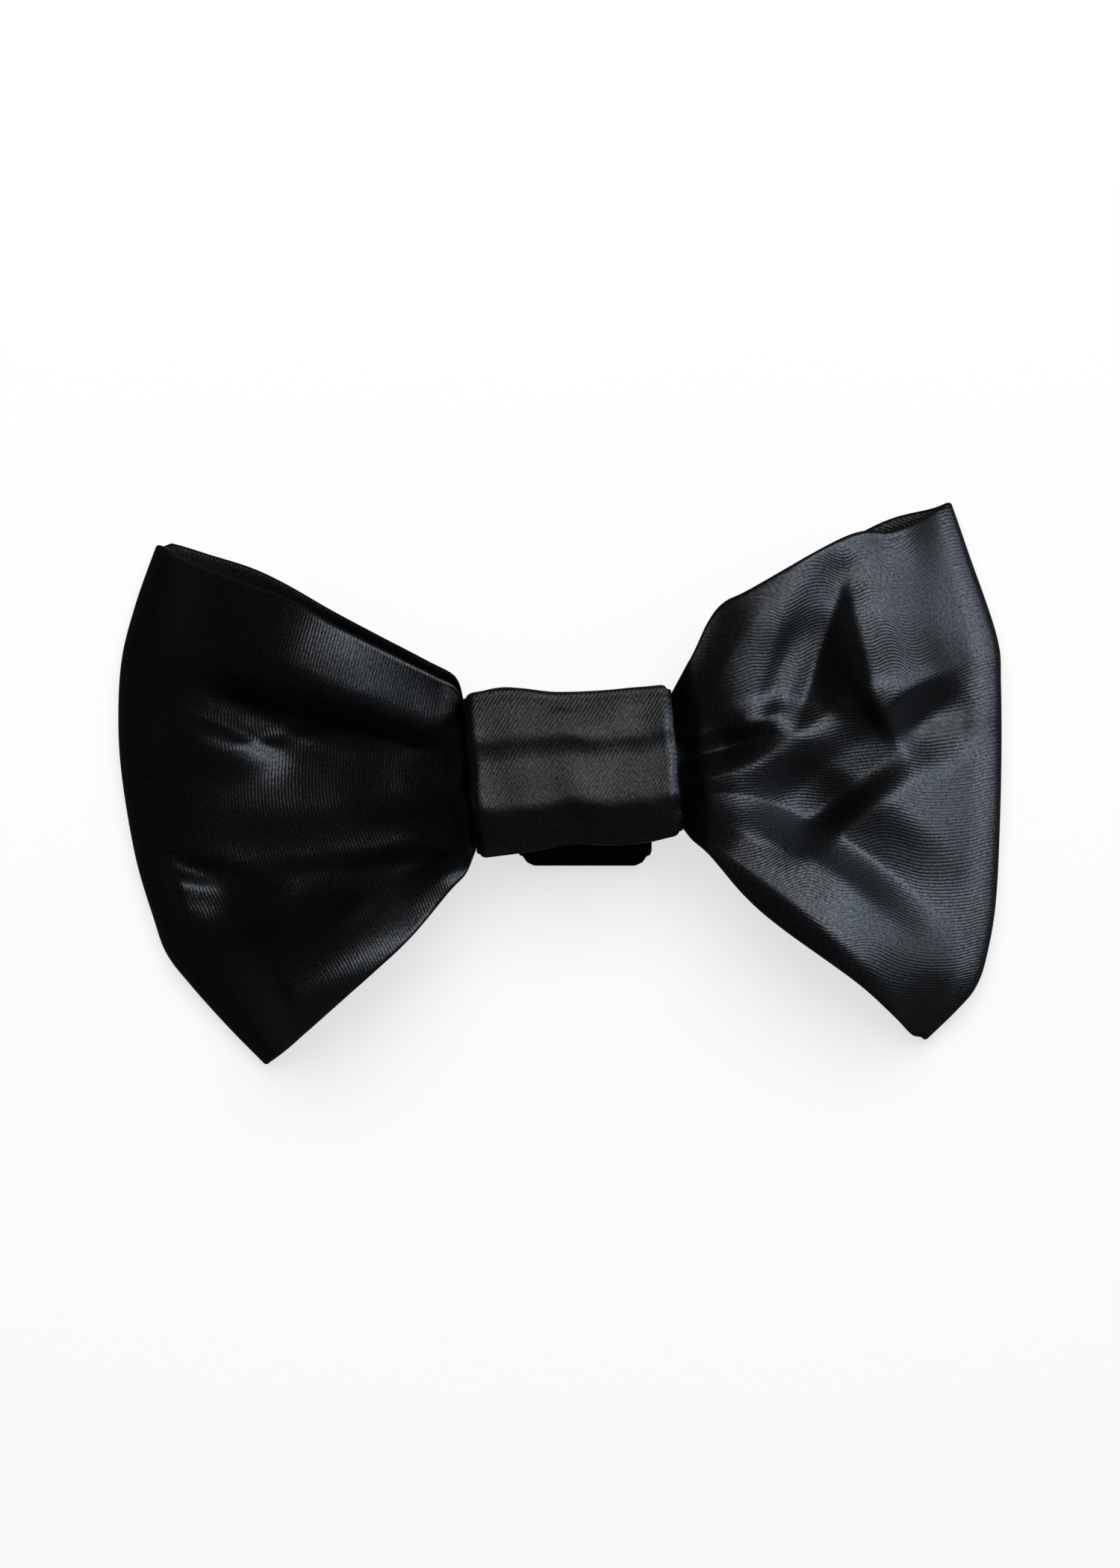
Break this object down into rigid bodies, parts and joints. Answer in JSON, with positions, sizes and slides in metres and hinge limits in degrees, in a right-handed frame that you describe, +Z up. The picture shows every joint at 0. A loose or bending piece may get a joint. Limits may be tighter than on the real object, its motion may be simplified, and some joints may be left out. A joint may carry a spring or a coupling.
{
  "type": "pet bow tie",
  "caption": "Satin bow tie for a pet's collar: a pinched bow with soft hollow wings, a knot band, and an elastic loop behind that slides onto a collar strap.",
  "frame": {"origin": "on the floor under the middle of the bow's outline, the bow lying on its back", "axes": "+X along the bow to the tip of its right wing seen from the front, +Y to its upper edges, +Z up out of the front of the knot"},
  "size_m": [0.1074, 0.068, 0.0185],
  "materials": {
    "satin": "black polyester satin, soft sheen",
    "elastic": "black woven elastic, matt"
  },
  "bodies": {
    "root": {"bow": "satin", "knot_band": "satin", "collar_loop": "elastic"}
  },
  "joints": []
}
